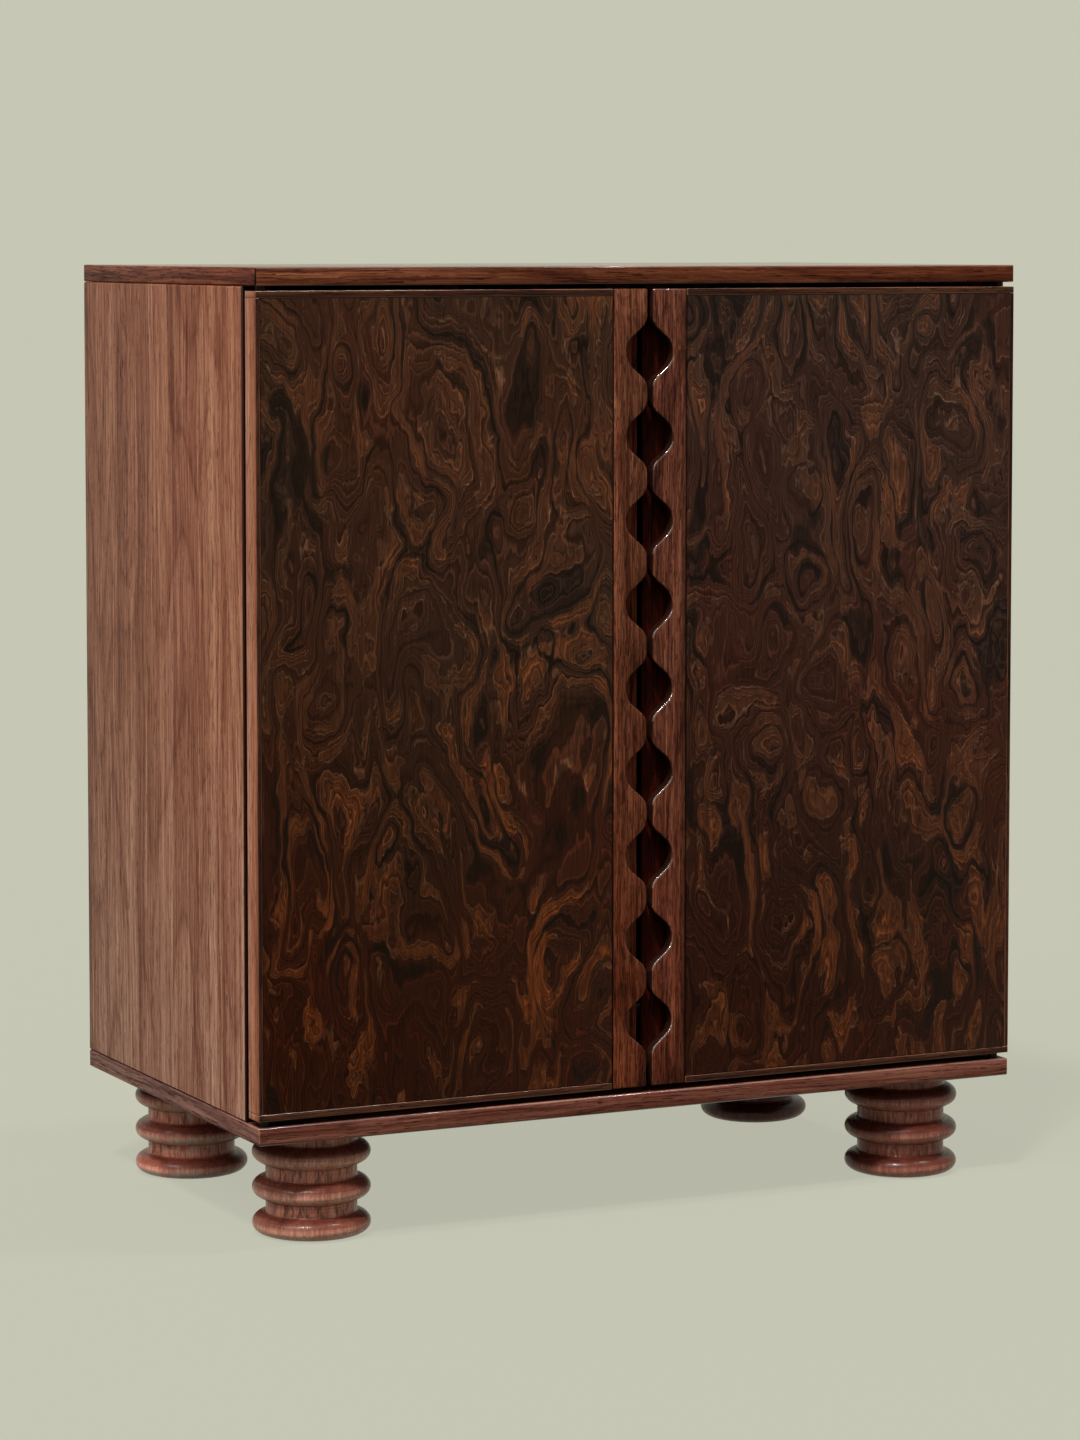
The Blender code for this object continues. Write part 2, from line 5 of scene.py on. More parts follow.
import bmesh
import bpy
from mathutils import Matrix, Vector


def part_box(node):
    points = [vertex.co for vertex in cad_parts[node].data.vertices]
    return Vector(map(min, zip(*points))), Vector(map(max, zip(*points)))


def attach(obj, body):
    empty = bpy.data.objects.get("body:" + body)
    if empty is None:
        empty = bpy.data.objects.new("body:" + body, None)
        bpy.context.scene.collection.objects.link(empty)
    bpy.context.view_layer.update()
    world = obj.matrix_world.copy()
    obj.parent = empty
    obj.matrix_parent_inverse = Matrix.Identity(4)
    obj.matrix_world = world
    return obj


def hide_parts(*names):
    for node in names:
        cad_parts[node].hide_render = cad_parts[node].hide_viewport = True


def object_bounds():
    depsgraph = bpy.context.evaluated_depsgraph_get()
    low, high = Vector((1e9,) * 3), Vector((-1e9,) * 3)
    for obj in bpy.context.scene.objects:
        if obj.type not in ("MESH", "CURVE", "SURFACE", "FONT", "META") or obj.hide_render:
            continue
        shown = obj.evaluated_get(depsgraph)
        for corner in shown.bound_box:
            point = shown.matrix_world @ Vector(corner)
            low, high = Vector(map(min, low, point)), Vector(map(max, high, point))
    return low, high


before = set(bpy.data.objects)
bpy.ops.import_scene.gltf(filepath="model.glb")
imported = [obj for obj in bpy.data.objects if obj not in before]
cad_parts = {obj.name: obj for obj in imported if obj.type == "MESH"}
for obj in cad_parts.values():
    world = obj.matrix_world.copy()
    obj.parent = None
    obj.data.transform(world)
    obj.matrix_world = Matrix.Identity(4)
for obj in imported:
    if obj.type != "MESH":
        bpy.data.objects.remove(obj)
cad_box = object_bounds()

SIDES = ((-1, "left_door"), (1, "right_door"))

# Where the camera stands: the photograph is 1080 by 1440 pixels
PHOTO_HEIGHT = 1440
FOCAL_PIXELS = 4452
SENSOR_MM = 36
CAMERA_PLACE = (-2.2017, -4.4991, 1.0631)
CAMERA_YAW = math.radians(25.996)
CAMERA_PITCH = math.radians(4.316)
CAMERA_SHIFT_PIXELS = -150

# How wide each kind of edge is rounded
BOARD_EASE = 0.0006
PANEL_EASE = 0.0005
BURL_EASE = 0.0004
STILE_EASE = 0.0016
STRIKE_EASE = 0.0003
CATCH_EASE = 0.001
EASE_STEPS = 3
EASE_ANGLE = 40

# Edges that turn more than this stay sharp, in degrees
SHARP_ANGLE = 40
SOLID_SHARP_ANGLE = 30

# Points closer than this are one
WELD_REACH = 0.00001

# How far a normal points along an axis at least: a flat face's, an end's and an eased edge's
FLAT = 0.9
ENDWAYS = 0.6
SLANTED = 0.3

# How much taller the outer bands are than their solids
BAND_REACH = 0.0002

# The pull's scallops, as on the stiles in the frame
SCALLOP_COUNT = 9
SCALLOP_DEPTH = 0.0255
HOLLOW_RADIUS = 0.022
CREST_RADIUS = 0.020
CREST_FLAT = 0.0087
FLANK_ANGLE = math.radians(50)
LIP_THICKNESS = 0.014
RECESS_DEPTH = 0.024
PULL_RISE = 0.00175
GROOVE_WIDTH = 0.034
GROOVE_END = 0.006
LIP_RELIEF = 0.0002
CUT_OVERRUN = 0.004
HOLLOW_STEPS = 20
CREST_STEPS = 10

# How far the painted shade of the meeting edge reaches round the crests of the scallops
CREST_SHADE = {"left_door": 2 * LIP_RELIEF, "right_door": 0.0012}

# The front eases of a stile are dull where they turn this far away and don't look up
EASE_TURN = -0.98
EASE_RISE = 0.3

# Turned feet
NECK_RADIUS = 0.049
BEAD_SWELL = 0.0145
BEAD_HEIGHT = 0.023
BEAD_COUNT = 3
BEAD_STEPS = 20
FOOT_HEIGHT = 0.1143
FOOT_CLEARANCE = 0.0003
FOOT_STEPS = 96
GLIDE_PROUD = 0.0005
QUIRK_DEPTH = 0.0012
QUIRK_HEIGHT = 0.0016
COVE_RADIUS = 0.0022
COVE_STEPS = 5


# Colours

def colour(red, green, blue):
    """Screen values from 0 to 255, as the linear values that shaders take."""
    def linear(value):
        value /= 255
        return value / 12.92 if value <= 0.04045 else ((value + 0.055) / 1.055) ** 2.4
    return (linear(red), linear(green), linear(blue))


def grey(value):
    return (value, value, value)


WHITE = grey(1)
BACKDROP = colour(198, 199, 181)
CATCH_BROWN = colour(50, 34, 27)
FELT_SHADES = ((0.3, colour(38, 34, 32)), (0.7, colour(74, 68, 64)))
BRONZE_TONE = (0.028, 0.020, 0.015)
STEEL_TONE = (0.55, 0.55, 0.56)

# The dark, middle and light tones of each wood
CASE_TONES = (colour(96, 46, 29), colour(145, 89, 65), colour(187, 134, 104))
EDGE_TONES = (colour(54, 23, 15), colour(104, 54, 33), colour(144, 88, 58))
END_TONES = (colour(34, 9, 6), colour(92, 38, 25), colour(146, 80, 56))
BASE_TONES = (colour(58, 24, 18), colour(110, 61, 47), colour(146, 95, 76))
BASE_END_TONES = (colour(66, 34, 28), colour(118, 76, 66), colour(162, 116, 102))
BAND_TONES = (colour(36, 16, 10), colour(66, 36, 24), colour(98, 60, 40))
HINGE_EDGE_TONES = (colour(129, 68, 46), colour(176, 111, 84), colour(210, 153, 124))
FOOT_TONES = (colour(100, 50, 38), colour(174, 116, 93), colour(226, 172, 147))
INSIDE_TONES = (colour(70, 38, 27), colour(104, 64, 46), colour(136, 94, 70))
# Near-black tones: painted shade on the sides' front faces in the doors' gap and on their downward
# eased edges, and dark joints round the burl panels and the top panel's dark front corners
SHADE_AND_JOINT_TONES = (colour(14, 8, 6), colour(20, 12, 9), colour(28, 17, 12))
# Near-black tones for the stiles' recess walls and the crests of their meeting edges, as painted
# shade, and for the dark joints along their outer edges
LIP_TONES = (colour(30, 14, 9), colour(42, 22, 15), colour(58, 32, 22))
STILE_TONES = {
    "left_door": (colour(44, 16, 8), colour(109, 59, 39), colour(153, 95, 67)),
    "right_door": (colour(39, 13, 8), colour(98, 52, 35), colour(140, 87, 62)),
}
# Recess floors: the left door's painted light, lighter than its stile, the right door's painted
# shade, near black
RECESS_TONES = {
    "left_door": (colour(64, 26, 16), colour(130, 66, 46), colour(168, 98, 70)),
    "right_door": (colour(26, 6, 3), colour(54, 15, 7), colour(84, 28, 14)),
}

# Tints of the case's sides, by their height in metres
SIDE_FADE = ((0.12, (1.16, 1.38, 1.62)), (0.55, WHITE), (1.0, (1.0, 0.92, 0.89)))

# Tints of the top panel's front edge, from left to right: painted light towards the left end and
# painted shade towards the right
TOP_FADE = (
    (0.0, (1.38, 1.42, 1.44)),
    (0.25, (1.15, 1.15, 1.14)),
    (0.55, (0.86, 0.80, 0.78)),
    (1.0, (0.62, 0.46, 0.44)),
)

# Tints of each stile's front, from the floor up to the top panel
STILE_FADE = {
    "left_door": (
        (0.25, (1.12, 0.86, 0.72)),
        (0.55, (1.06, 1.00, 0.98)),
        (0.90, (1.18, 1.25, 1.28)),
    ),
    "right_door": (
        (0.25, (1.02, 0.84, 0.78)),
        (0.55, (0.95, 0.97, 0.98)),
        (0.90, (1.00, 1.00, 1.08)),
    ),
}


class Nodes:
    """A material's nodes. Most methods add one or a few, and give their output."""

    def __init__(self, name):
        self.material = bpy.data.materials.new(name)
        self.material.use_nodes = True
        self.tree = self.material.node_tree
        self.shader = self.tree.nodes["Principled BSDF"]
        self.place = self.add("ShaderNodeTexCoord").outputs["Object"]

    def add(self, kind, settings=(), **inputs):
        node = self.tree.nodes.new(kind)
        for key, value in dict(settings).items():
            setattr(node, key, value)
        for key, value in inputs.items():
            self.feed(node.inputs[key.replace("_", " ")], value)
        return node

    def feed(self, socket, value):
        if isinstance(value, bpy.types.NodeSocket):
            self.tree.links.new(value, socket)
        elif hasattr(value, "__len__") and len(value) == 3 and len(socket.default_value) == 4:
            socket.default_value = (*value, 1)
        else:
            socket.default_value = value

    def math(self, operation, first, second=0.5, third=0.5):
        node = self.add("ShaderNodeMath", {"operation": operation})
        for socket, value in zip(node.inputs, (first, second, third)):
            self.feed(socket, value)
        return node.outputs[0]

    def plus(self, start, *weighted):
        """A start, plus each value times its weight."""
        for value, weight in weighted:
            start = self.math("MULTIPLY_ADD", value, weight, start)
        return start

    def repeat(self, value, times):
        """Runs from 0 to 1 this many times while the value does so once."""
        return self.math("FRACT", self.math("MULTIPLY", value, times))

    def span(self, value, low, high, to_low=0.0, to_high=1.0):
        node = self.add("ShaderNodeMapRange")
        for socket, number in zip(node.inputs, (value, low, high, to_low, to_high)):
            self.feed(socket, number)
        return node.outputs[0]

    def vector(self, operation, first, second):
        node = self.add("ShaderNodeVectorMath", {"operation": operation})
        self.feed(node.inputs[0], first)
        self.feed(node.inputs[1], second)
        return node.outputs["Vector"]

    def axis(self, axis):
        return self.add("ShaderNodeSeparateXYZ", Vector=self.place).outputs["xyz".index(axis)]

    def noise(self, where, scale=1.0, detail=2.0, roughness=0.5, stretch=None, output="Fac"):
        """The smaller the stretch on an axis, the longer the pattern there."""
        if stretch:
            where = self.vector("MULTIPLY", where, stretch)
        node = self.add(
            "ShaderNodeTexNoise", Vector=where, Scale=scale, Detail=detail, Roughness=roughness
        )
        return node.outputs[output]

    def push(self, where, reach, **noise):
        """Noise that pushes places aside, on each axis by up to about half its reach."""
        centred = self.vector("SUBTRACT", self.noise(where, output="Color", **noise), grey(0.5))
        return self.vector("MULTIPLY", centred, reach)

    def ramp(self, value, stops):
        node = self.add("ShaderNodeValToRGB")
        self.feed(node.inputs[0], value)
        elements = node.color_ramp.elements
        while len(elements) < len(stops):
            elements.new(0.5)
        for element, (position, tint) in zip(elements, stops):
            element.position = position
            element.color = (*tint, 1)
        return node.outputs["Color"]

    def mix(self, share, first, second, blend="MIX"):
        node = self.add("ShaderNodeMix", {"data_type": "RGBA", "blend_type": blend})
        self.feed(node.inputs["Factor"], share)
        self.feed(node.inputs[6], first)
        self.feed(node.inputs[7], second)
        return node.outputs[2]

    def tinted(self, base, tint, share=1.0):
        return self.mix(share, base, tint, "MULTIPLY")

    def bump(self, height, depth, strength):
        node = self.add("ShaderNodeBump", Height=height, Distance=depth, Strength=strength)
        self.feed(self.shader.inputs["Normal"], node.outputs[0])

    def finish(self, base, roughness, **constants):
        self.feed(self.shader.inputs["Base Color"], base)
        self.feed(self.shader.inputs["Roughness"], roughness)
        for key, value in constants.items():
            self.feed(self.shader.inputs[key.replace("_", " ")], value)
        return self.material


# Walnut

# How often each pattern comes per metre, lengthwise and crosswise, its detail and roughness
BENDS = (2.0, 6)
RIPPLES = (90, 40)
WIDE_BANDS = (0.6, 20, 2, 0.5)
STREAKS = (1.3, 150, 3, 0.65)
FIBRES = (8, 540, 3, 0.7)
RING_FIELD_LENGTHWISE = 0.55
RING_FIELD_CROSSWISE = 4.5
RING_FIELD_ROUGHNESS = 0.4
PORE_ROUGHNESS = 0.6

# How far bends and ripples carry the grain, on each axis
BEND_REACH = (0.030, 0.030, 0.030)
RIPPLE_REACH = (0.0016, 0.0016, 0.0016)

# Growth rings in the ring field, and what rings, streaks and fibres add to the tone
RING_COUNT = 20
RING_WEIGHT = 0.55
STREAK_WEIGHT = 0.95
FIBRE_WEIGHT = 1.30
TONE_SPAN = (0.16, 0.84)

# Across a growth ring: light first, with a thin dark line at its end
RING_SHADES = (
    (0.0, grey(0.42)),
    (0.10, grey(0.60)),
    (0.55, grey(0.56)),
    (0.88, grey(0.40)),
    (0.96, grey(0.20)),
    (1.0, grey(0.42)),
)

# Pores: how often they come lengthwise and crosswise, where they start and how dark they are
FINE_PORES = (38, 700, 0.57, 0.8)
OPEN_PORES = (60, 520, 0.51, 0.6)
PORE_BLUR = 0.08
PORE_SHADE = 0.45

# How strongly broad bands show, or how fine the figure is, where it isn't the usual
STILE_PATTERN = {"broad": 0.25, "pore": OPEN_PORES}
FOOT_PATTERN = {"broad": 0.4, "pore": OPEN_PORES}
FRONT_PATTERN = {"broad": 0.4}
END_PATTERN = {"figure": 1.6}

# The bump's depth and strength, and what fibres and pores add to it and to the roughness
WALNUT_BUMP = (0.00025, 0.35)
FIBRE_BUMP = 0.5
PORE_BUMP = -0.6
FIBRE_ROUGHENING = 0.05
PORE_ROUGHENING = 0.2

# The range that most of a noise lies in
MOST = (0.3, 0.7)

# How rough each finish is: the less, the glossier
TOP_ROUGHNESS = 0.12
DOOR_ARRIS_ROUGHNESS = 0.2
PANEL_ARRIS_ROUGHNESS = 0.22
FOOT_ROUGHNESS = 0.24
DULL_ARRIS_ROUGHNESS = 0.3
DOOR_ROUGHNESS = 0.36
CASE_ROUGHNESS = 0.38
SATIN_ROUGHNESS = 0.45
DULL_ROUGHNESS = 0.5
SHADE_AND_JOINT_ROUGHNESS = 0.6

# Specular levels and coats
WALNUT_SPECULAR = 0.06
POLISHED = {"Specular_IOR_Level": 0.4, "Coat_Weight": 0.5, "Coat_Roughness": 0.10}
BRIGHT = {"Specular_IOR_Level": 0.5, "Coat_Weight": 0.7, "Coat_Roughness": 0.10}
DULL = {"Coat_Weight": 0.03, "Coat_Roughness": 0.2}
MIRROR = {"Coat_Weight": 1.0, "Coat_Roughness": 0.10, "Coat_IOR": 1.8}
STILE_GLINT = {"left_door": DULL, "right_door": MIRROR}
RECESS_SPECULAR = 0.03
TOP_SPECULAR = 0.5
FOOT_SPECULAR = 0.25

# Where in its wood each piece is cut, in metres
SIDE_SHIFT = (0.31, 0.2, 0.4)
TOP_SHIFT = (0, 0.11, 0.23)
BOTTOM_SHIFT = (0.37, 0.11, 0.23)
UPRIGHT_SHIFT = (0.4, 0.2, 0)
SHELF_SHIFT = (0.1, 0.3, 0)
RAIL_SHIFT = (0.2, 0, 0.3)
STILE_SHIFT = {"left_door": (-0.38, 0, 0.4), "right_door": (0.24, 0, 0.4)}
BAND_SHIFT = (0.15, 0, 0)
LEVEL_BAND_SHIFT = (0.15, 0, 0.2)
HINGE_EDGE_SHIFT = (0.7, 0, 0)
DOOR_BACK_SHIFT = (0.6, 0, 0.1)
SHADE_AND_JOINT_SHIFT = (0, 0, 0)
FOOT_SHIFT_STEP = (0.21, 0.13, 0.31)
BURL_SHIFT = {"left_door": (-0.5, 0, -0.35), "right_door": (1.1, 0, 0.77)}

# Knots in the case's sides: y, z and how far the growth rings swell
KNOTS = ((-0.132, 0.71, 0.045), (-0.122, 0.36, 0.035), (0.125, 0.83, 0.040))
KNOT_EDGE = {"scale": 30.0, "reach": (0.012, 0.012, 0.012)}
KNOT_SHAPE = (0, 1, 0.16)
KNOT_SWELL = 0.30
KNOT_CORE = (0.001, 0.005, 0.75, 0.0)
KNOT_TINT = (0.30, 0.24, 0.20)

# Painted shade along the front of the case's sides, beside the gap to the doors, and a darker strip
# along their back
GAP_SHADE = colour(46, 16, 9)
GAP_SHADE_FROM = 0.0040
GAP_SHADE_TO = 0.0025
BACK_STRIP_FROM = 0.014
BACK_STRIP_TO = 0.010
BACK_STRIP_TINT = grey(0.72)

# A warmer strip along the front of the doors' outer edges
HINGE_STRIP_FROM = 0.018
HINGE_STRIP_TO = 0.016
HINGE_STRIP_TINT = (0.88, 0.75, 0.60)

# Painted light and shade on the feet, up each bead and the neck above it: painted bounce light on
# each bead's underside and on the neck, painted shade on the bead's upper half
BEAD_LIGHT_AND_SHADE = (
    (0.0, (1.75, 2.15, 2.32)),
    (0.14, (1.68, 2.00, 2.15)),
    (0.26, (1.38, 1.60, 1.70)),
    (0.34, (0.90, 0.91, 0.94)),
    (0.42, (0.38, 0.28, 0.26)),
    (0.60, (0.26, 0.16, 0.15)),
    (0.66, (0.85, 0.78, 0.76)),
    (0.74, grey(1.30)),
    (0.95, grey(1.35)),
)
# Painted light and shade for each foot as a whole: the left feet lighter, where the light falls,
# the right feet darker, in the case's shade; PALEST caps the painted light
FOOT_LIGHT_AND_SHADE = {
    "front_left": (1.36, 1.27, 1.26),
    "front_right": (0.87, 0.67, 0.66),
    "back_left": (1.90, 1.62, 1.68),
    "back_right": (0.42, 0.27, 0.27),
}
PALEST = grey(0.88)

# The feet's grain is calmed towards its middle tone, with fine turned rings over it
FOOT_CALM = 0.45
TURNED_RINGS = {"stretch": (12, 12, 900), "roughness": 0.6}
TURNED_SHADES = ((0.35, grey(0.80)), (0.65, grey(1.15)))

# Dark flecks on the necks, and the part of each bead's pitch where they show
FLECK = colour(44, 16, 12)
FLECK_NOISE = {"stretch": (260, 260, 60), "detail": 3, "roughness": 0.6}
FLECK_SPAN = (0.48, 0.64, 0.0, 0.70)
NECK_FROM = (0.58, 0.66)
NECK_TO = (0.94, 1.0, 1.0, 0.4)


def along(grain, lengthwise, crosswise):
    """A scale for places that is small along the grain and large across it."""
    scale = [crosswise] * 3
    scale["xyz".index(grain)] = lengthwise
    return tuple(scale)


def walnut_grain(n, place, grain, tones, figure=1.0, broad=1.0, swell=0.0, pore=FINE_PORES):
    """The colour, the fibres and the pores. Swell adds to the growth rings, as round a knot."""
    dark, middle, light = tones
    bend = n.push(place, BEND_REACH, stretch=along(grain, *BENDS))
    ripple = n.push(place, RIPPLE_REACH, stretch=along(grain, *RIPPLES))
    carried = n.vector("ADD", n.vector("ADD", place, bend), ripple)

    def pattern(lengthwise, crosswise, detail, roughness):
        stretch = along(grain, lengthwise, crosswise)
        return n.noise(carried, detail=detail, roughness=roughness, stretch=stretch)

    across = RING_FIELD_CROSSWISE * figure
    field = pattern(RING_FIELD_LENGTHWISE, across, 2, RING_FIELD_ROUGHNESS)
    rings = n.ramp(n.repeat(n.math("ADD", field, swell), RING_COUNT), RING_SHADES)
    fibres = pattern(*FIBRES)
    tone = 0.5
    for value, weight in (
        (pattern(*WIDE_BANDS), broad),
        (rings, RING_WEIGHT),
        (pattern(*STREAKS), STREAK_WEIGHT),
        (fibres, FIBRE_WEIGHT),
    ):
        tone = n.plus(tone, (n.math("SUBTRACT", value, 0.5), weight))
    base = n.ramp(n.span(tone, *TONE_SPAN), ((0.0, dark), (0.5, middle), (1.0, light)))
    lengthwise, crosswise, level, depth = pore
    pores = n.span(pattern(lengthwise, crosswise, 2, PORE_ROUGHNESS), level, level + PORE_BLUR)
    shade = tuple(PORE_SHADE * value for value in dark)
    return n.mix(n.math("MULTIPLY", pores, depth), base, shade), fibres, pores


def walnut_finish(n, base, fibres, pores, roughness, **constants):
    n.bump(n.plus(n.math("MULTIPLY", fibres, FIBRE_BUMP), (pores, PORE_BUMP)), *WALNUT_BUMP)
    spread = (roughness + FIBRE_ROUGHENING, roughness - FIBRE_ROUGHENING)
    rough = n.plus(n.span(fibres, *MOST, *spread), (pores, PORE_ROUGHENING))
    constants = {"Specular_IOR_Level": WALNUT_SPECULAR, **constants}
    return n.finish(base, rough, **constants)


def walnut(name, grain, tones, shift, roughness, pattern=(), fade=None, **constants):
    """Walnut, cut from its wood where the shift says. A fade tints it along the grain."""
    n = Nodes(name)
    place = n.vector("ADD", n.place, shift)
    base, fibres, pores = walnut_grain(n, place, grain, tones, **dict(pattern))
    if fade:
        ends = (corner["xyz".index(grain)] for corner in cad_box)
        base = n.tinted(base, n.ramp(n.span(n.axis(grain), *ends), fade))
    return walnut_finish(n, base, fibres, pores, roughness, **constants)


def knotted_walnut():
    """Upright walnut with knots, for the case's sides."""
    n = Nodes("walnut_case_side")
    place = n.vector("ADD", n.place, n.push(n.place, **KNOT_EDGE))
    swell, core = 0.0, 0.0
    for across, up, reach in KNOTS:
        away = n.vector("MULTIPLY", n.vector("SUBTRACT", place, (0, across, up)), KNOT_SHAPE)
        away = n.add("ShaderNodeVectorMath", {"operation": "LENGTH"}, Vector=away).outputs["Value"]
        near = n.span(away, 0.0, reach, 1.0, 0.0)
        swell = n.plus(swell, (n.math("MULTIPLY", near, near), KNOT_SWELL))
        core = n.math("MAXIMUM", core, n.span(away, *KNOT_CORE))
    place = n.vector("ADD", n.place, SIDE_SHIFT)
    base, fibres, pores = walnut_grain(n, place, "z", CASE_TONES, swell=swell)
    base = n.tinted(base, KNOT_TINT, core)
    base = n.tinted(base, n.ramp(n.axis("z"), SIDE_FADE))
    low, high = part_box("left_side_panel")
    depth = n.axis("y")
    # Painted shade along the side's front, where the doors' gap falls dark
    base = n.mix(n.span(depth, low.y + GAP_SHADE_FROM, low.y + GAP_SHADE_TO), base, GAP_SHADE)
    back = n.span(depth, high.y - BACK_STRIP_FROM, high.y - BACK_STRIP_TO)
    base = n.tinted(base, BACK_STRIP_TINT, back)
    return walnut_finish(n, base, fibres, pores, CASE_ROUGHNESS)


def hinge_edge_walnut():
    """Pale walnut with a warmer strip along the front, for the doors' outer edges."""
    n = Nodes("walnut_hinge_edge")
    place = n.vector("ADD", n.place, HINGE_EDGE_SHIFT)
    base, fibres, pores = walnut_grain(n, place, "z", HINGE_EDGE_TONES)
    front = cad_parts["left_door_outer_band"].bound_box[0][1]
    strip = n.span(n.axis("y"), front + HINGE_STRIP_FROM, front + HINGE_STRIP_TO)
    base = n.tinted(base, HINGE_STRIP_TINT, strip)
    return walnut_finish(n, base, fibres, pores, DOOR_ROUGHNESS)


def turned_walnut(where, shift):
    """Walnut with dark flecks on the necks, fine turned rings, painted light and shade up the
    beads, and painted light and shade for each foot as a whole.
    """
    n = Nodes(f"walnut_foot_{where}")
    place = n.vector("ADD", n.place, shift)
    base, fibres, pores = walnut_grain(n, place, "z", FOOT_TONES, **FOOT_PATTERN)
    base = n.mix(FOOT_CALM, base, FOOT_TONES[1])
    base = n.tinted(base, n.ramp(n.noise(n.place, **TURNED_RINGS), TURNED_SHADES))
    pitch = n.repeat(n.axis("z"), BEAD_COUNT / FOOT_HEIGHT)
    # Painted bounce light under each bead and painted shade on its upper half
    base = n.tinted(base, n.ramp(pitch, BEAD_LIGHT_AND_SHADE))
    # Painted light or painted shade for this whole foot, no paler than PALEST
    base = n.vector("MINIMUM", n.tinted(base, FOOT_LIGHT_AND_SHADE[where]), PALEST)
    neck = n.math("MULTIPLY", n.span(pitch, *NECK_FROM), n.span(pitch, *NECK_TO))
    flecks = n.span(n.noise(place, **FLECK_NOISE), *FLECK_SPAN)
    base = n.mix(n.math("MULTIPLY", neck, flecks), base, FLECK)
    specular = {"Specular_IOR_Level": FOOT_SPECULAR}
    return walnut_finish(n, base, fibres, pores, FOOT_ROUGHNESS, **specular)


# Burl

# How far its slow and quick bends carry the figure, and how often they come
SLOW_BEND = {"reach": (0.20, 0.20, 0.28), "stretch": (1, 1, 0.5), "scale": 5.8, "detail": 1.0}
QUICK_BEND = {"reach": (0.038,) * 3, "stretch": (1, 1, 0.5), "scale": 28.0, "detail": 3.0}

# Its patterns, each longer upwards than across
FINE_FIBRES = {"stretch": (520, 520, 26), "detail": 3, "roughness": 0.65}
FRAYS = {"stretch": (300, 300, 34), "roughness": 0.6}
AMBER_STREAKS = {"stretch": (170, 170, 13), "roughness": 0.6}
RELIEF = {"stretch": (1, 1, 0.306), "scale": 14.5, "detail": 1.5, "roughness": 0.45}
AMBER_PATCHES = {"stretch": (1, 1, 0.357), "scale": 27.0, "detail": 2.5}
BLACK_PATCHES = {"stretch": (1, 1, 0.306), "scale": 22.0, "detail": 2.5}
CALM_PATCHES = {"stretch": (1, 1, 0.51), "scale": 11.0}
FIELD_PATCHES = {"stretch": (1, 1, 0.7), "scale": 3.6, "detail": 1.0}
AMBER_OFFSET = (1.3, 0, 4.7)
BLACK_OFFSET = (3.1, 0, 1.7)
GLOW_OFFSET = (5.1, 0, 2.2)
GLOW_SCALE = 7.0
LINED_SCALE = 14.0

# Eyes raise the relief round scattered points, fibres fray it, and two sets of lines follow it
EYE_SCALE = 13.5
EYE_STRETCH = (1, 1, 0.62)
EYE_RISE = (0.02, 0.50, 0.34, 0.0)
RELIEF_FRAYS = 0.019
RELIEF_FIBRES = 0.005
CONTOUR_COUNT = 6.5
LINE_COUNT = 36.0

# How the relief and its frays push the patches' outlines, and where the patches start and fill
PATCH_FRAYS = 0.06
PATCH_WAVE = 0.50
AMBER_SPAN = (0.712, 0.775, 0.0, 0.78)
STREAK_SPAN = (0.36, 0.62, 1.0, 0.35)
RIM_FROM = (0.712, 0.724)
RIM_TO = (0.732, 0.744, 1.0, 0.0)
RIM_SHARE = 0.45
BLACK_SPAN = (0.515, 0.575, 0.0, 0.72)
CALM_SPAN = (0.44, 0.62, 1.0, 0.55)
LINED_SPAN = (0.36, 0.52, 0.30, 1.0)

# Across one contour: plain, with thin dark and light lines
CONTOUR_SHADES = (
    (0.00, grey(0.46)),
    (0.04, grey(0.56)),
    (0.09, grey(0.95)),
    (0.30, grey(1.00)),
    (0.325, (1.46, 1.44, 1.42)),
    (0.345, (1.46, 1.44, 1.42)),
    (0.365, grey(0.50)),
    (0.40, grey(0.90)),
    (0.60, grey(1.08)),
    (0.62, grey(0.52)),
    (0.66, grey(0.60)),
    (0.69, grey(1.10)),
    (0.82, grey(1.16)),
    (0.85, grey(1.36)),
    (0.87, grey(1.00)),
    (1.00, grey(0.52)),
)
LINE_SHADES = (
    (0.0, grey(0.44)),
    (0.12, grey(0.90)),
    (0.62, grey(0.95)),
    (0.78, (1.84, 1.80, 1.76)),
    (0.86, (1.84, 1.80, 1.76)),
    (1.0, grey(0.44)),
)
FIBRE_SHADES = ((0.30, grey(0.62)), (0.70, grey(1.36)))
FIBRE_SHARE = 0.8

# The plain field, the amber and black patches, and what all turn to at the bottom
FIELD = ((0.36, colour(52, 35, 25)), (0.50, colour(60, 36, 25)), (0.64, colour(66, 35, 23)))
AMBER = ((0.45, colour(88, 53, 33)), (0.62, colour(110, 63, 37)))
AMBER_RIM = colour(110, 78, 56)
BLACK = colour(28, 20, 16)
LOW_FROM = 0.65
LOW_TO = 0.22
FIELD_LOW_TINT = (0.98, 0.60, 0.50)
AMBER_LOW_TINT = (1.70, 1.48, 1.16)
BURL_LOW_TINT = (1.0, 0.84, 0.70)
BURL_LEVEL = {"left_door": (0.86, 0.86, 0.84), "right_door": (0.88, 0.96, 1.16)}

# Its bump and its soft gloss
BURL_BUMP = (0.00012, 0.25)
BURL_ROUGHNESS = (0.26, 0.34)
BURL_GLOSS = {"Specular_IOR_Level": 0.08, "Specular_Tint": (1.0, 0.80, 0.62, 1.0)}


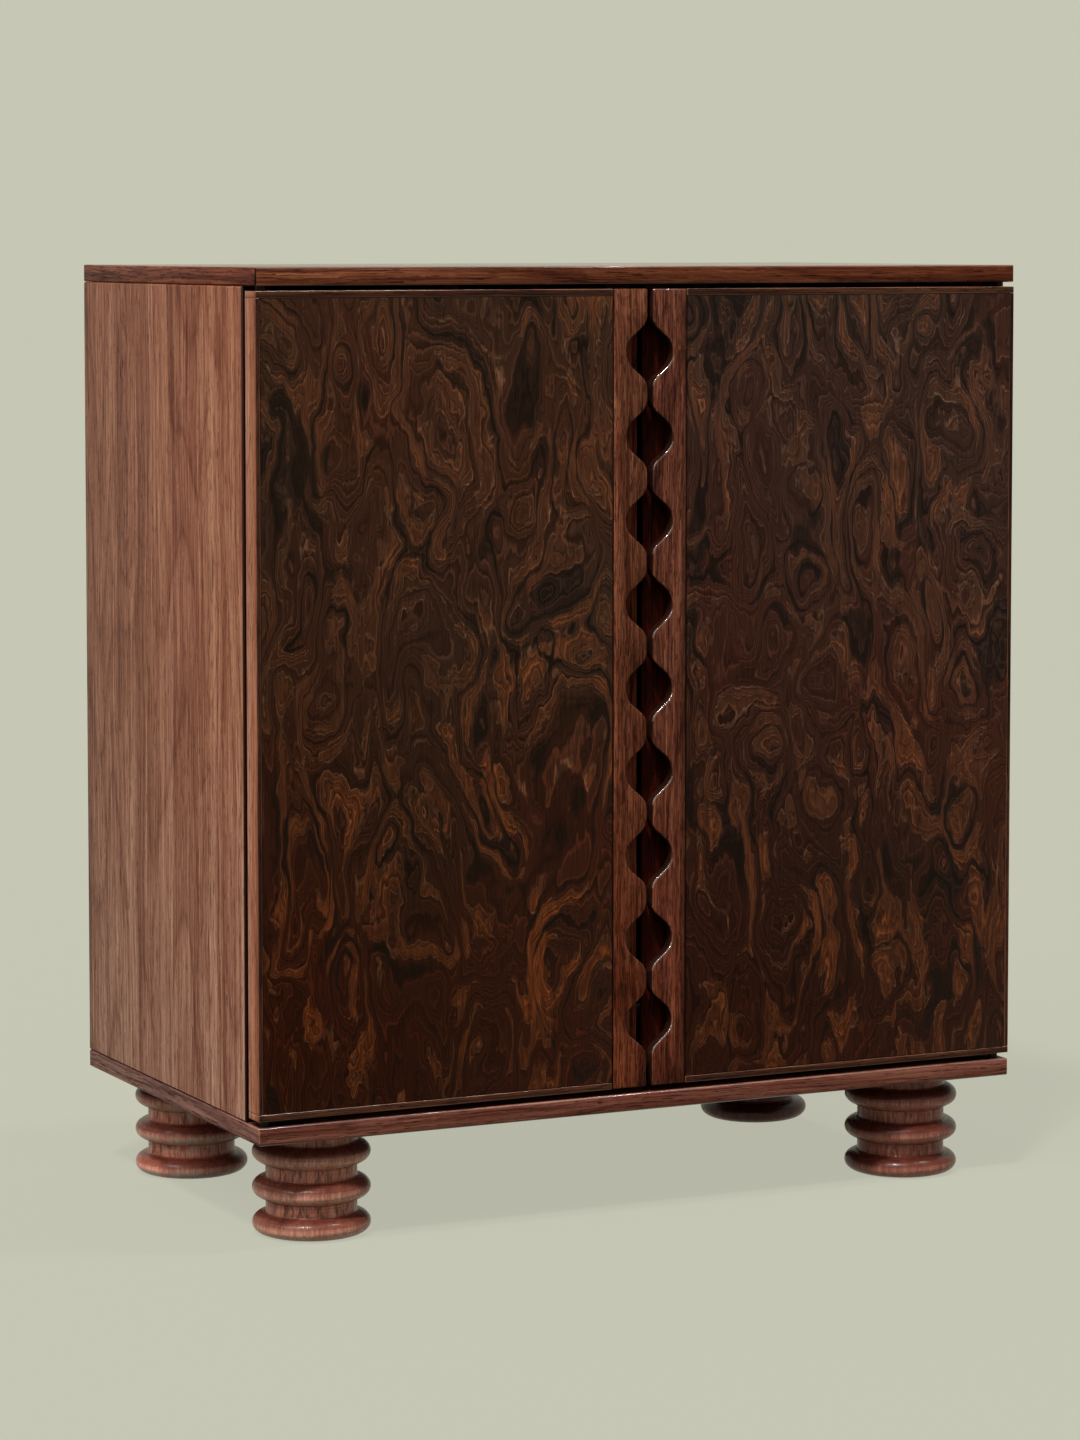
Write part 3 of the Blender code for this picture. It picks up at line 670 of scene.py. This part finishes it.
def burl(door):
    """Dark burl: a plain field with outlined amber and black patches, and contour lines."""
    n = Nodes(f"burl_{door}")
    place = n.vector("ADD", n.place, BURL_SHIFT[door])
    carried = n.vector("ADD", place, n.push(place, **SLOW_BEND))
    carried = n.vector("ADD", carried, n.push(place, **QUICK_BEND))
    fibres = n.noise(place, **FINE_FIBRES)
    frays = n.noise(place, **FRAYS)
    low = n.span(n.axis("z"), LOW_FROM, LOW_TO)

    # The relief, whose contours are the lines of the figure
    eyes = n.add(
        "ShaderNodeTexVoronoi",
        {"feature": "SMOOTH_F1"},
        Vector=n.vector("MULTIPLY", carried, EYE_STRETCH),
        Scale=EYE_SCALE,
    ).outputs["Distance"]
    relief = n.math("ADD", n.noise(carried, **RELIEF), n.span(eyes, *EYE_RISE))
    relief = n.plus(relief, (frays, RELIEF_FRAYS), (fibres, RELIEF_FIBRES))
    wave = n.math("PINGPONG", n.math("MULTIPLY", relief, CONTOUR_COUNT), 0.5)

    # The field
    base = n.ramp(n.noise(place, **FIELD_PATCHES), FIELD)
    base = n.tinted(base, FIELD_LOW_TINT, low)

    # Amber patches with a paler rim
    amber = n.noise(n.vector("ADD", carried, AMBER_OFFSET), **AMBER_PATCHES)
    amber = n.plus(amber, (frays, PATCH_FRAYS), (wave, PATCH_WAVE))
    glow = n.noise(n.vector("ADD", carried, GLOW_OFFSET), GLOW_SCALE)
    tint = n.tinted(n.ramp(glow, AMBER), AMBER_LOW_TINT, low)
    streaks = n.span(n.noise(carried, **AMBER_STREAKS), *STREAK_SPAN)
    base = n.mix(n.math("MULTIPLY", n.span(amber, *AMBER_SPAN), streaks), base, tint)
    rim = n.math("MULTIPLY", n.span(amber, *RIM_FROM), n.span(amber, *RIM_TO))
    base = n.mix(n.math("MULTIPLY", rim, RIM_SHARE), base, AMBER_RIM)

    # Black patches
    black = n.noise(n.vector("ADD", carried, BLACK_OFFSET), **BLACK_PATCHES)
    black = n.plus(black, (frays, PATCH_FRAYS), (wave, -PATCH_WAVE))
    base = n.mix(n.span(black, *BLACK_SPAN), base, BLACK)

    # Contours, fine lines and fibres over all of it
    contours = n.ramp(n.repeat(relief, CONTOUR_COUNT), CONTOUR_SHADES)
    base = n.tinted(base, contours, n.span(n.noise(carried, **CALM_PATCHES), *CALM_SPAN))
    lines = n.ramp(n.repeat(relief, LINE_COUNT), LINE_SHADES)
    base = n.tinted(base, lines, n.span(n.noise(place, LINED_SCALE), *LINED_SPAN))
    base = n.tinted(base, n.ramp(fibres, FIBRE_SHADES), FIBRE_SHARE)
    base = n.tinted(base, BURL_LEVEL[door])
    base = n.tinted(base, BURL_LOW_TINT, low)
    n.bump(fibres, *BURL_BUMP)
    return n.finish(base, n.span(fibres, *MOST, *BURL_ROUGHNESS), **BURL_GLOSS)


# Metal, felt and moulded plastic

# Their marks: brushed lines, fuzz and a fine grain
BRUSHED = {"stretch": (600, 600, 20), "detail": 3, "roughness": 0.6}
FUZZ = {"scale": 1400.0, "detail": 3, "roughness": 0.7}
MOULD_GRAIN = {"scale": 900.0}
METAL_BUMP = (0.00005, 0.3)
FELT_BUMP = (0.0004, 0.6)
MOULD_BUMP = (0.0001, 0.4)

# How dark the marks are, and how much of that shows
MARK_SHADE = 0.7
METAL_MARKS = (0.3, 0.7, 0.0, 0.35)
MOULD_MARKS = (0.35, 0.65, 0.0, 0.25)

# The least and the most rough that each is
BRONZE_ROUGHNESS = (0.49, 0.63)
STEEL_ROUGHNESS = (0.26, 0.40)
MOULD_ROUGHNESS = (0.48, 0.60)
FELT_ROUGHNESS = 0.95


def marked(n, base, marks, span):
    return n.mix(n.span(marks, *span), base, tuple(MARK_SHADE * value for value in base))


def metal(name, base, roughness):
    n = Nodes(name)
    marks = n.noise(n.place, **BRUSHED)
    n.bump(marks, *METAL_BUMP)
    rough = n.span(marks, *MOST, *roughness)
    return n.finish(marked(n, base, marks, METAL_MARKS), rough, Metallic=1.0)


def felt(name):
    n = Nodes(name)
    fuzz = n.noise(n.place, **FUZZ)
    n.bump(fuzz, *FELT_BUMP)
    return n.finish(n.ramp(fuzz, FELT_SHADES), FELT_ROUGHNESS, Sheen_Weight=0.3)


def moulded(name, base):
    n = Nodes(name)
    marks = n.noise(n.place, **MOULD_GRAIN)
    n.bump(marks, *MOULD_BUMP)
    rough = n.span(marks, *MOST, *MOULD_ROUGHNESS)
    return n.finish(marked(n, base, marks, MOULD_MARKS), rough, Specular_IOR_Level=0.15)


# Pieces and their shapes

def repaint(node, material, ease=0.0):
    """A CAD node gets a finish, and eased edges."""
    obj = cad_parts[node]
    obj.data.materials.clear()
    obj.data.materials.append(material)
    smooth(obj, SOLID_SHARP_ANGLE)
    if ease:
        ease_edges(obj, ease)
    return obj


def paint(obj, material, wanted):
    """The faces whose middle and normal are wanted get one more finish."""
    obj.data.materials.append(material)
    index = len(obj.data.materials) - 1
    for face in obj.data.polygons:
        if wanted(face.center, face.normal):
            face.material_index = index


def smooth(obj, angle=SHARP_ANGLE):
    obj.data.shade_smooth()
    obj.data.set_sharp_from_angle(angle=math.radians(angle))


def ease_edges(obj, width, finish=None):
    """Rounds an object's edges. They can have a finish of their own."""
    weld = obj.modifiers.new("weld", "WELD")
    weld.merge_threshold = WELD_REACH
    bevel = obj.modifiers.new("eased_edges", "BEVEL")
    bevel.width = width
    bevel.segments = EASE_STEPS
    bevel.limit_method = "ANGLE"
    bevel.angle_limit = math.radians(EASE_ANGLE)
    bevel.harden_normals = True
    bevel.use_clamp_overlap = False
    if finish:
        obj.data.materials.append(finish)
        bevel.material = len(obj.data.materials) - 1


def finish_piece(obj, body, material, replaced):
    """A new piece gets a finish, rides on a body and stands in for a CAD node."""
    obj.data.materials.clear()
    obj.data.materials.append(material)
    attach(obj, body)
    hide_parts(replaced)


def new_piece(name, shape):
    mesh = bpy.data.meshes.new(name)
    shape.to_mesh(mesh)
    shape.free()
    obj = bpy.data.objects.new(name, mesh)
    bpy.context.scene.collection.objects.link(obj)
    return obj


def box_shape(low, high):
    shape = bmesh.new()
    bmesh.ops.create_cube(shape, size=1)
    size = Vector(high) - Vector(low)
    bmesh.ops.scale(shape, vec=size, verts=shape.verts)
    bmesh.ops.translate(shape, vec=(Vector(low) + Vector(high)) / 2, verts=shape.verts)
    return shape


def prism_shape(outline, front, back):
    """An outline of (x, z) points, made solid from one y to another."""
    shape = bmesh.new()
    face = shape.faces.new([shape.verts.new((across, front, up)) for across, up in outline])
    swept = bmesh.ops.extrude_face_region(shape, geom=[face])["geom"]
    moved = [part for part in swept if isinstance(part, bmesh.types.BMVert)]
    bmesh.ops.translate(shape, vec=(0, back - front, 0), verts=moved)
    bmesh.ops.recalc_face_normals(shape, faces=shape.faces)
    return shape


def lathe(name, profile, steps, centre):
    """A profile of (radius, height) points, from the axis and back to it, turned about Z."""
    shape = bmesh.new()
    points = [shape.verts.new((radius, 0, height)) for radius, height in profile]
    lines = [shape.edges.new(pair) for pair in zip(points, points[1:])]
    bmesh.ops.spin(
        shape,
        geom=points + lines,
        cent=(0, 0, 0),
        axis=(0, 0, 1),
        angle=2 * math.pi,
        steps=steps,
        use_duplicate=False,
    )
    bmesh.ops.remove_doubles(shape, verts=shape.verts, dist=WELD_REACH)
    bmesh.ops.recalc_face_normals(shape, faces=shape.faces)
    obj = new_piece(name, shape)
    obj.location = centre
    smooth(obj)
    return obj


def cut(obj, shape):
    """Cuts a shape out of an object at once."""
    cutter = new_piece("cutter", shape)
    modifier = obj.modifiers.new("cut", "BOOLEAN")
    modifier.solver = "EXACT"
    modifier.object = cutter
    apply_modifiers(obj)
    bpy.data.objects.remove(cutter, do_unlink=True)


def apply_modifiers(obj):
    bpy.context.view_layer.update()
    graph = bpy.context.evaluated_depsgraph_get()
    mesh = bpy.data.meshes.new_from_object(obj.evaluated_get(graph))
    obj.modifiers.clear()
    obj.data = mesh


def arc(centre, radius, start, end, steps):
    angles = [start + (end - start) * step / steps for step in range(steps + 1)]
    return [
        (centre[0] + radius * math.cos(angle), centre[1] + radius * math.sin(angle))
        for angle in angles
    ]


# The case, board by board

def is_end(middle, normal):
    return abs(normal.x) > ENDWAYS


def is_front_arris(middle, normal):
    return -FLAT < normal.y < -SLANTED and abs(normal.z) > SLANTED


def is_front_corner(middle, normal):
    return -FLAT < normal.y < -SLANTED and abs(normal.x) > SLANTED


def is_top(middle, normal):
    return normal.z > FLAT


def is_shaded_joint(middle, normal):
    return normal.y < -FLAT or -FLAT < normal.z < -SLANTED


def make_sides():
    sides = knotted_walnut()
    # Painted shade on the sides' front faces, seen in the doors' gap, and on their downward eased
    # edges
    shade_and_joint = walnut("walnut_painted_shade", "z", SHADE_AND_JOINT_TONES, SHADE_AND_JOINT_SHIFT, SHADE_AND_JOINT_ROUGHNESS)
    for node in ("left_side_panel", "right_side_panel"):
        paint(repaint(node, sides, PANEL_EASE), shade_and_joint, is_shaded_joint)


def make_board(node, shift, tones, end_tones, corner_tones, fade=None):
    """The top or the bottom panel, with finishes of their own on its ends and front edges."""
    def wood(part, grain, tones, roughness, **looks):
        return walnut(f"walnut_{node}{part}", grain, tones, shift, roughness, **looks)

    front = wood("", "x", tones, CASE_ROUGHNESS, pattern=FRONT_PATTERN, fade=fade)
    board = repaint(node, front, PANEL_EASE)
    end = wood("_end", "y", end_tones, CASE_ROUGHNESS, pattern=END_PATTERN)
    paint(board, end, is_end)
    arris = wood("_arris", "x", end_tones, PANEL_ARRIS_ROUGHNESS, **BRIGHT)
    paint(board, arris, is_front_arris)
    corner = wood("_corner", "x", corner_tones, DULL_ROUGHNESS)
    paint(board, corner, is_front_corner)
    return board


def make_top_and_bottom():
    top = make_board("top_panel", TOP_SHIFT, EDGE_TONES, END_TONES, SHADE_AND_JOINT_TONES, TOP_FADE)
    gloss = {"Specular_IOR_Level": TOP_SPECULAR}
    finish = walnut("walnut_top", "x", EDGE_TONES, TOP_SHIFT, TOP_ROUGHNESS, **gloss)
    paint(top, finish, is_top)
    make_board("bottom_panel", BOTTOM_SHIFT, BASE_TONES, BASE_END_TONES, CASE_TONES)


def make_inside():
    upright = walnut("walnut_inside", "z", INSIDE_TONES, UPRIGHT_SHIFT, DULL_ROUGHNESS)
    shelf = walnut("walnut_shelf", "x", INSIDE_TONES, SHELF_SHIFT, DULL_ROUGHNESS)
    rail = walnut("walnut_rail", "y", INSIDE_TONES, RAIL_SHIFT, SATIN_ROUGHNESS)
    repaint("back_panel", upright)
    repaint("lower_divider", upright, BOARD_EASE)
    for node in ("fixed_shelf", "adjustable_shelf"):
        repaint(node, shelf, BOARD_EASE)
    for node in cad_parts:
        if node.startswith("stemware_rail"):
            repaint(node, rail, BOARD_EASE)
        if node.startswith("bottle_rail"):
            repaint(node, shelf, BOARD_EASE)


# The doors

def scallop_edge(middle):
    """The pull's outline as (depth, height) points, and half of its height."""
    turn = FLANK_ANGLE
    radii = HOLLOW_RADIUS + CREST_RADIUS
    flank = (SCALLOP_DEPTH - radii * (1 - math.cos(turn))) / math.sin(turn)
    half = radii * math.sin(turn) + flank * math.cos(turn)
    pitch = 2 * half + CREST_FLAT
    rise = arc((CREST_RADIUS, -half), CREST_RADIUS, math.pi, math.pi - turn, CREST_STEPS)
    hollow = arc((SCALLOP_DEPTH - HOLLOW_RADIUS, 0), HOLLOW_RADIUS, -turn, turn, HOLLOW_STEPS)
    fall = arc((CREST_RADIUS, half), CREST_RADIUS, math.pi + turn, math.pi, CREST_STEPS)
    points = []
    for number in range(SCALLOP_COUNT):
        centre = middle + (number - (SCALLOP_COUNT - 1) / 2) * pitch
        points += [(depth, centre + height) for depth, height in rise + hollow + fall]
    return points, (SCALLOP_COUNT * pitch - CREST_FLAT) / 2


def scalloped_stile(name, side, low, high, inner):
    """A box with scallops through its meeting edge, and a groove behind the lip."""
    relieved = Vector((side * LIP_RELIEF, 0, 0))
    corners = (low + relieved, high) if side > 0 else (low, high + relieved)
    stile = new_piece(name, box_shape(*corners))
    middle = (low.z + high.z) / 2 + PULL_RISE
    scallops, pull_half = scallop_edge(middle)
    below, above = low.z - CUT_OVERRUN, high.z + CUT_OVERRUN
    edge = [(0, below), *scallops, (0, above), (-CUT_OVERRUN, above), (-CUT_OVERRUN, below)]
    outline = [(inner + side * depth, height) for depth, height in edge]
    cut_back = low.y + (LIP_THICKNESS + RECESS_DEPTH) / 2
    cut(stile, prism_shape(outline, low.y - CUT_OVERRUN, cut_back))
    half = pull_half + GROOVE_END
    ends = sorted((inner - side * CUT_OVERRUN, inner + side * GROOVE_WIDTH))
    groove_low = (ends[0], low.y + LIP_THICKNESS, middle - half)
    groove_high = (ends[1], low.y + RECESS_DEPTH, middle + half)
    cut(stile, box_shape(groove_low, groove_high))
    return stile


def make_stile(side, door):
    """The scalloped stile, with rounded edges on its lip, painted shade on its recess walls and
    crests, and a recess floor painted light on the left door and painted shade on the right.
    """
    node = f"{door}_pull_stile"
    low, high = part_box(node)
    inner, outer = (low.x, high.x) if side > 0 else (high.x, low.x)
    stile = scalloped_stile(f"{node}_finished", side, low, high, inner)

    def wood(part, tones, roughness, **looks):
        return walnut(f"walnut_{door}_{part}", "z", tones, STILE_SHIFT[door], roughness, **looks)

    def stile_wood(part, roughness, **looks):
        return wood(part, STILE_TONES[door], roughness, pattern=STILE_PATTERN, **looks)

    front = stile_wood("stile", DOOR_ROUGHNESS, fade=STILE_FADE[door])
    finish_piece(stile, door, front, node)
    arris = stile_wood("stile_arris", DOOR_ARRIS_ROUGHNESS, **STILE_GLINT[door])
    ease_edges(stile, STILE_EASE, arris)
    apply_modifiers(stile)

    def is_dull_arris(middle, normal):
        looks_down = normal.z < EASE_RISE * math.hypot(normal.x, normal.z)
        return middle.y < low.y + STILE_EASE and normal.y > EASE_TURN and looks_down

    def is_recess(middle, normal):
        if min(abs(middle.x - inner), abs(middle.x - outer)) < 2 * LIP_RELIEF:
            return False
        return low.y + STILE_EASE < middle.y < low.y + RECESS_DEPTH + LIP_RELIEF

    def is_crest(middle, normal):
        return abs(middle.x - inner) < CREST_SHADE[door]

    def is_outer_edge(middle, normal):
        return abs(middle.x - outer) < STILE_EASE

    def is_recess_floor(middle, normal):
        return normal.y < -0.5 and middle.y > low.y + LIP_THICKNESS

    dull_arris = stile_wood("stile_edge", DULL_ARRIS_ROUGHNESS, **DULL)
    paint(stile, dull_arris, is_dull_arris)
    specular = {"Specular_IOR_Level": RECESS_SPECULAR}
    # Painted shade on the recess walls and crests, and dark joints along the outer edge
    shade_and_joint = wood("lip", LIP_TONES, DULL_ROUGHNESS, **specular)
    for wanted in (is_recess, is_crest, is_outer_edge):
        paint(stile, shade_and_joint, wanted)
    # The recess floor, painted light on the left door and painted shade on the right
    floor = wood("recess", RECESS_TONES[door], DULL_ROUGHNESS, **specular)
    paint(stile, floor, is_recess_floor)
    smooth(stile)


def is_hinge_edge(middle, normal):
    return abs(normal.x) > FLAT


def make_doors():
    upright = walnut("walnut_band_upright", "z", BAND_TONES, BAND_SHIFT, DOOR_ROUGHNESS)
    level = walnut("walnut_band_level", "x", BAND_TONES, LEVEL_BAND_SHIFT, DOOR_ROUGHNESS)
    arris = (EDGE_TONES, BAND_SHIFT, DOOR_ARRIS_ROUGHNESS)
    upright_arris = walnut("walnut_band_upright_arris", "z", *arris, **POLISHED)
    arris = (EDGE_TONES, LEVEL_BAND_SHIFT, DOOR_ARRIS_ROUGHNESS)
    level_arris = walnut("walnut_band_level_arris", "x", *arris, **BRIGHT)
    hinge_edge = hinge_edge_walnut()
    inside = walnut("walnut_door_back", "z", INSIDE_TONES, DOOR_BACK_SHIFT, SATIN_ROUGHNESS)
    joint = walnut("walnut_joint", "z", SHADE_AND_JOINT_TONES, SHADE_AND_JOINT_SHIFT, SHADE_AND_JOINT_ROUGHNESS)
    for side, door in SIDES:
        make_stile(side, door)
        node = f"{door}_outer_band"
        low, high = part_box(node)
        band = new_piece(f"{node}_fitted", box_shape(low, high + Vector((0, 0, BAND_REACH))))
        finish_piece(band, door, upright, node)
        paint(band, hinge_edge, is_hinge_edge)
        ease_edges(band, BOARD_EASE, upright_arris)
        for end in ("top", "bottom"):
            band = repaint(f"{door}_{end}_band", level)
            paint(band, hinge_edge, is_hinge_edge)
            ease_edges(band, BOARD_EASE, level_arris)
        ease_edges(repaint(f"{door}_burl_panel", burl(door)), BURL_EASE, joint)
        repaint(f"{door}_core", inside)


# The feet

def foot_profile():
    """Three beads with a cove above each and a quirk below, over a flat base."""
    pitch = FOOT_HEIGHT / BEAD_COUNT
    half = BEAD_HEIGHT / 2
    start = math.asin(COVE_RADIUS / BEAD_SWELL)
    quirk_radius = NECK_RADIUS - QUIRK_DEPTH
    top = FOOT_HEIGHT - FOOT_CLEARANCE
    points = [(0, top), (NECK_RADIUS, top)]
    for number in reversed(range(BEAD_COUNT)):
        middle = number * pitch + half + GLIDE_PROUD
        cove_centre = (NECK_RADIUS + COVE_RADIUS, middle + half + COVE_RADIUS)
        points += arc(cove_centre, COVE_RADIUS, math.pi, 1.5 * math.pi, COVE_STEPS)
        for step in range(BEAD_STEPS + 1):
            angle = start + (math.pi - start) * step / BEAD_STEPS
            radius = NECK_RADIUS + BEAD_SWELL * math.sin(angle)
            points.append((radius, middle + half * math.cos(angle)))
        if number:
            quirk_top = middle - half
            quirk_low = quirk_top - QUIRK_HEIGHT
            points += [(quirk_radius, quirk_top), (quirk_radius, quirk_low)]
            points.append((NECK_RADIUS, quirk_low))
    points.append((0, GLIDE_PROUD))
    return points


def make_feet():
    for number, where in enumerate(FOOT_LIGHT_AND_SHADE):
        node = f"foot_{where}"
        low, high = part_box(node)
        centre = ((low.x + high.x) / 2, (low.y + high.y) / 2, 0)
        foot = lathe(f"{node}_turned", foot_profile(), FOOT_STEPS, centre)
        wood = turned_walnut(where, tuple(number * step for step in FOOT_SHIFT_STEP))
        finish_piece(foot, "case", wood, node)


# The hardware

def make_hardware():
    bronze = metal("bronze", BRONZE_TONE, BRONZE_ROUGHNESS)
    steel = metal("steel", STEEL_TONE, STEEL_ROUGHNESS)
    glides = felt("felt")
    for _, door in SIDES:
        for end in ("upper", "lower"):
            repaint(f"{door}_{end}_case_leaf", bronze)
            repaint(f"{door}_{end}_leaf", bronze)
        repaint(f"{door}_strike_plate", bronze, STRIKE_EASE)
        repaint(f"{door}_magnetic_catch", moulded(f"catch_{door}", CATCH_BROWN), CATCH_EASE)
    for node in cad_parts:
        if node.startswith(("shelf_pin", "foot_bolt")):
            repaint(node, steel)
        if node.startswith("foot_glide"):
            repaint(node, glides, BOARD_EASE)


# The studio

# Each lamp's name, the direction that it stands in, its strength and its width in degrees
LAMPS = (
    ("key", (-0.60, -0.27, 0.75), 1.3, 34),
    ("fill", (-0.12, -0.95, 0.22), 0.10, 50),
    ("spark", (-0.351, -0.374, 0.858), 2.2, 6),
    ("rim", (0.38, -0.20, 0.90), 1.1, 6),
)
AMBIENT = 0.26
FLOOR_SHARE = 0.12
FLOOR_SIZE = 80


def floor_glow():
    """The share of the backdrop's colour that the lamps leave for the floor's own glow."""
    lit = AMBIENT
    for _, towards, strength, _ in LAMPS:
        lit += strength * Vector(towards).normalized().z / math.pi
    return 1 - FLOOR_SHARE * lit


def make_floor():
    n = Nodes("floor")
    rays = n.add("ShaderNodeLightPath")
    seen = n.math("MAXIMUM", rays.outputs["Is Camera Ray"], rays.outputs["Is Glossy Ray"])
    seen = n.math("MAXIMUM", seen, rays.outputs["Is Transmission Ray"])
    n.finish(tuple(FLOOR_SHARE * value for value in BACKDROP), 1.0, Specular_IOR_Level=0.0)
    n.feed(n.shader.inputs["Emission Color"], BACKDROP)
    n.feed(n.shader.inputs["Emission Strength"], n.math("MULTIPLY", seen, floor_glow()))
    bpy.ops.mesh.primitive_plane_add(size=FLOOR_SIZE)
    floor = bpy.context.object
    floor.name = "floor"
    floor.data.materials.append(n.material)


def make_world():
    """White light all round, and the backdrop's colour where it is seen."""
    world = bpy.data.worlds.new("studio")
    bpy.context.scene.world = world
    world.use_nodes = True
    tree = world.node_tree
    tree.nodes.clear()

    def add(kind, **settings):
        node = tree.nodes.new(kind)
        for key, value in settings.items():
            setattr(node, key, value)
        return node

    rays = add("ShaderNodeLightPath")
    seen = rays.outputs["Is Camera Ray"]
    for ray in ("Is Transmission Ray", "Is Glossy Ray"):
        either = add("ShaderNodeMath", operation="MAXIMUM")
        tree.links.new(seen, either.inputs[0])
        tree.links.new(rays.outputs[ray], either.inputs[1])
        seen = either.outputs[0]
    light = add("ShaderNodeBackground")
    light.inputs["Color"].default_value = (*WHITE, 1)
    light.inputs["Strength"].default_value = AMBIENT
    backdrop = add("ShaderNodeBackground")
    backdrop.inputs["Color"].default_value = (*BACKDROP, 1)
    mixed = add("ShaderNodeMixShader")
    tree.links.new(seen, mixed.inputs[0])
    tree.links.new(light.outputs[0], mixed.inputs[1])
    tree.links.new(backdrop.outputs[0], mixed.inputs[2])
    tree.links.new(mixed.outputs[0], add("ShaderNodeOutputWorld").inputs["Surface"])


def make_lamps():
    """Soft, distant lamps, each standing in its direction as seen from the cabinet."""
    for name, towards, strength, width in LAMPS:
        lamp = bpy.data.lights.new(name, "SUN")
        lamp.energy = strength
        lamp.angle = math.radians(width)
        obj = bpy.data.objects.new(name, lamp)
        obj.rotation_euler = Vector(towards).to_track_quat("Z", "Y").to_euler()
        bpy.context.scene.collection.objects.link(obj)


def make_camera():
    data = bpy.data.cameras.new("camera")
    data.sensor_fit = "VERTICAL"
    data.sensor_height = SENSOR_MM
    data.lens = SENSOR_MM * FOCAL_PIXELS / PHOTO_HEIGHT
    data.shift_y = CAMERA_SHIFT_PIXELS / PHOTO_HEIGHT
    camera = bpy.data.objects.new("camera", data)
    camera.location = CAMERA_PLACE
    camera.rotation_euler = (math.pi / 2 - CAMERA_PITCH, 0, -CAMERA_YAW)
    bpy.context.scene.collection.objects.link(camera)
    bpy.context.scene.camera = camera


make_sides()
make_top_and_bottom()
make_inside()
make_doors()
make_feet()
make_hardware()
make_camera()
make_floor()
make_world()
make_lamps()
bpy.context.scene.view_settings.view_transform = "Standard"
